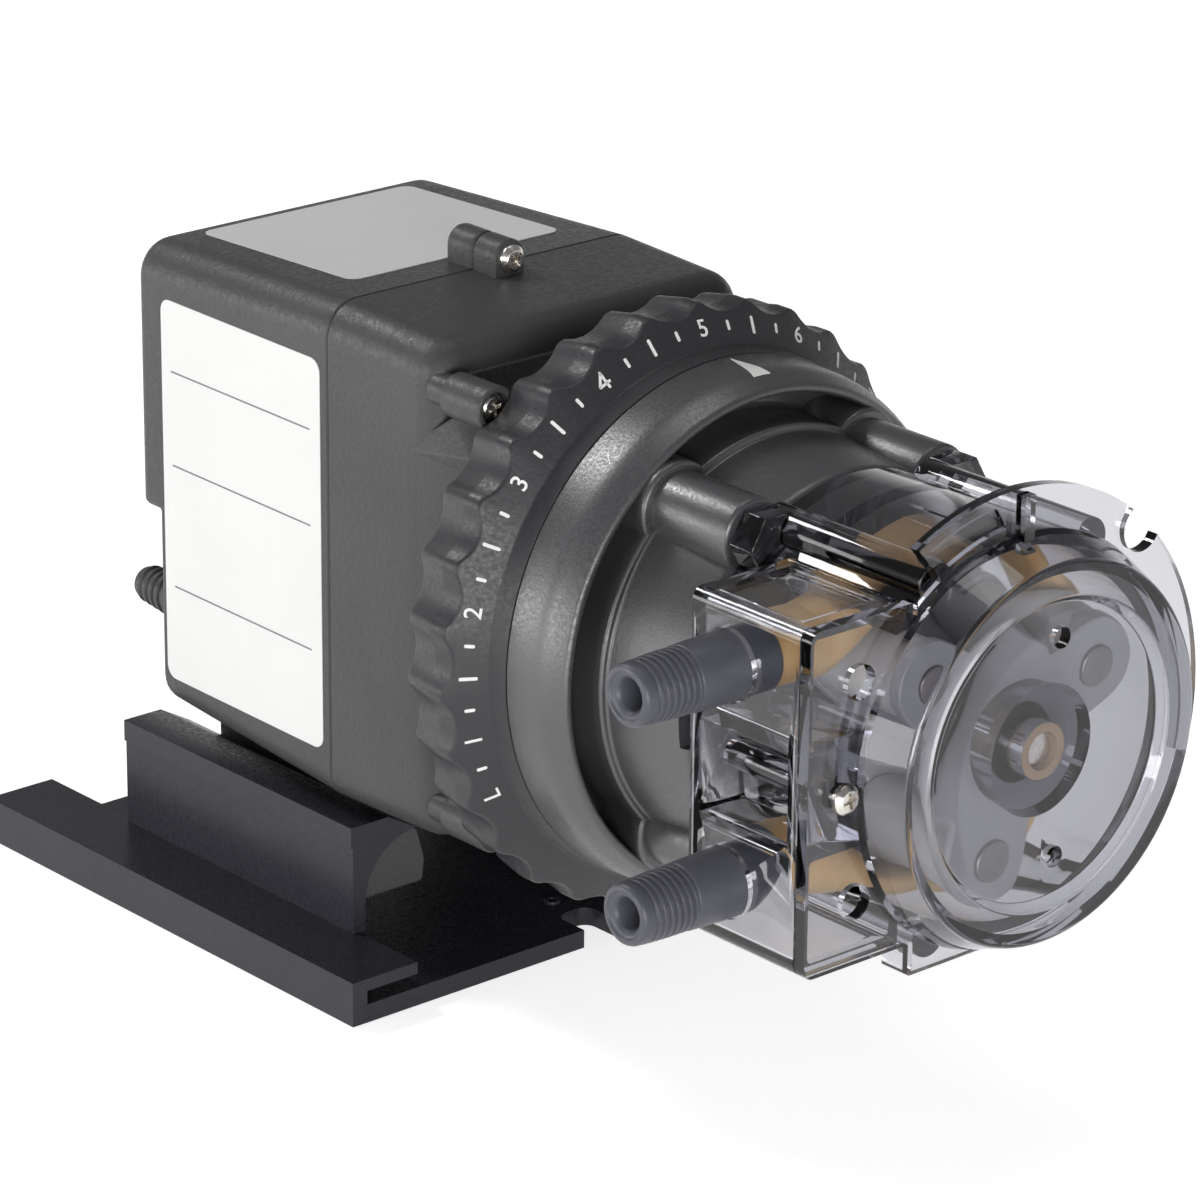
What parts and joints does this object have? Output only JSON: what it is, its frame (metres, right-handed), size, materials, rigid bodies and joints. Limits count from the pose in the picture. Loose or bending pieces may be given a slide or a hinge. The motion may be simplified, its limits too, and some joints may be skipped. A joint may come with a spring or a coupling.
{
  "type": "peristaltic injector pump",
  "caption": "Fixed-speed peristaltic injector pump: motor case on a slide-on wall bracket, numbered feed dial, and a clear roller head with side hose fittings.",
  "frame": {"origin": "middle of the wall bracket's flat underside", "axes": "+Z away from the bracket's underside, +Y from the pump head back to the motor, -X towards the hose fittings"},
  "size_m": [0.1499, 0.2805, 0.1597],
  "materials": {
    "charcoal_plastic": "satin",
    "gasket_rubber": "matte",
    "clear_plastic": "clear, smoke grey",
    "stainless": "bright",
    "steel": "ground",
    "lamination": "laminated",
    "copper": "enamelled wire",
    "bronze": "sintered",
    "grey_plastic": "satin",
    "white_plastic": "satin",
    "natural_plastic": "satin",
    "tan_rubber": "translucent",
    "cast_metal": "die cast"
  },
  "bodies": {
    "case": {"mounting_bracket": "charcoal_plastic", "mounting_foot": "charcoal_plastic", "motor_case_rear": "charcoal_plastic", "gear_case_front": "charcoal_plastic", "case_gasket": "gasket_rubber", "corner_screws": "stainless", "top_screw": "stainless", "cord_gland": "charcoal_plastic", "gear_plate_rear": "steel", "gear_plate_front": "steel", "gear_spacers": "steel", "gear_axles": "steel", "motor_stator": "lamination", "motor_coil": "copper", "motor_bridge_front": "cast_metal", "motor_bridge_rear": "cast_metal", "motor_bolts": "steel", "motor_spacers": "steel", "motor_bearing_front": "bronze", "motor_bearing_rear": "bronze", "bell_housing": "charcoal_plastic", "bell_screws": "steel", "fixed_cam": "natural_plastic", "output_bearing": "bronze", "shaft_bearing": "bronze", "shaft_seal": "gasket_rubber", "tube_housing": "clear_plastic", "tube_cover": "clear_plastic", "cover_bushing": "bronze", "head_screw": "stainless", "pump_tube": "tan_rubber", "fitting_suction": "grey_plastic", "fitting_discharge": "grey_plastic"},
    "dial": {"dial_ring": "charcoal_plastic", "variable_cam": "natural_plastic"},
    "rotor": {"rotor_core": "lamination", "rotor_shaft": "steel", "cooling_fan": "white_plastic"},
    "first_wheel": {"first_gear": "natural_plastic"},
    "second_wheel": {"second_gear": "natural_plastic"},
    "output": {"output_gear": "natural_plastic", "index_plate": "steel"},
    "roller_head": {"roller_shaft": "stainless", "roller_carrier_rear": "white_plastic", "roller_carrier_front": "white_plastic", "roller_pins": "stainless", "pin_holder": "steel"},
    "lifter": {"pin_lifter": "steel", "lifter_spring": "stainless"},
    "roller_a": {"roller_1": "white_plastic"},
    "roller_b": {"roller_2": "white_plastic"},
    "roller_c": {"roller_3": "white_plastic"}
  },
  "joints": [
    {"name": "dial_turn", "type": "hinge", "parent": "case", "child": "dial", "pos_m": [0, -0.096, 0.092], "axis": [0, -1, 0], "range_deg": [-116.4, 131.8]},
    {"name": "rotor_spin", "type": "hinge", "parent": "case", "child": "rotor", "pos_m": [0, -0.01, 0.071], "axis": [0, -1, 0], "continuous": true},
    {"name": "first_gear_spin", "type": "hinge", "parent": "case", "child": "first_wheel", "pos_m": [0.021, -0.048, 0.071], "axis": [0, -1, 0], "continuous": true},
    {"name": "second_gear_spin", "type": "hinge", "parent": "case", "child": "second_wheel", "pos_m": [0.021, -0.048, 0.092], "axis": [0, -1, 0], "continuous": true},
    {"name": "output_spin", "type": "hinge", "parent": "case", "child": "output", "pos_m": [0, -0.062, 0.092], "axis": [0, -1, 0], "continuous": true},
    {"name": "roller_shaft_spin", "type": "hinge", "parent": "case", "child": "roller_head", "pos_m": [0, -0.174, 0.092], "axis": [0, -1, 0], "continuous": true},
    {"name": "pin_lift", "type": "slide", "parent": "roller_head", "child": "lifter", "axis": [0, -1, 0], "range_m": [0, 0.003]},
    {"name": "roller_a_spin", "type": "hinge", "parent": "roller_head", "child": "roller_a", "pos_m": [0.02318, -0.174, 0.10136], "axis": [0, -1, 0], "continuous": true},
    {"name": "roller_b_spin", "type": "hinge", "parent": "roller_head", "child": "roller_b", "pos_m": [-0.0197, -0.174, 0.10739], "axis": [0, -1, 0], "continuous": true},
    {"name": "roller_c_spin", "type": "hinge", "parent": "roller_head", "child": "roller_c", "pos_m": [-0.00348, -0.174, 0.06724], "axis": [0, -1, 0], "continuous": true}
  ],
  "couplings": [
    {"joint": "first_gear_spin", "follows": "rotor_spin", "ratio": -0.2},
    {"joint": "second_gear_spin", "follows": "rotor_spin", "ratio": 0.05},
    {"joint": "output_spin", "follows": "rotor_spin", "ratio": -0.016667},
    {"joint": "roller_shaft_spin", "follows": "rotor_spin", "ratio": -0.016667},
    {"joint": "roller_a_spin", "follows": "rotor_spin", "ratio": 0.068089},
    {"joint": "roller_b_spin", "follows": "rotor_spin", "ratio": 0.068089},
    {"joint": "roller_c_spin", "follows": "rotor_spin", "ratio": 0.068089}
  ]
}
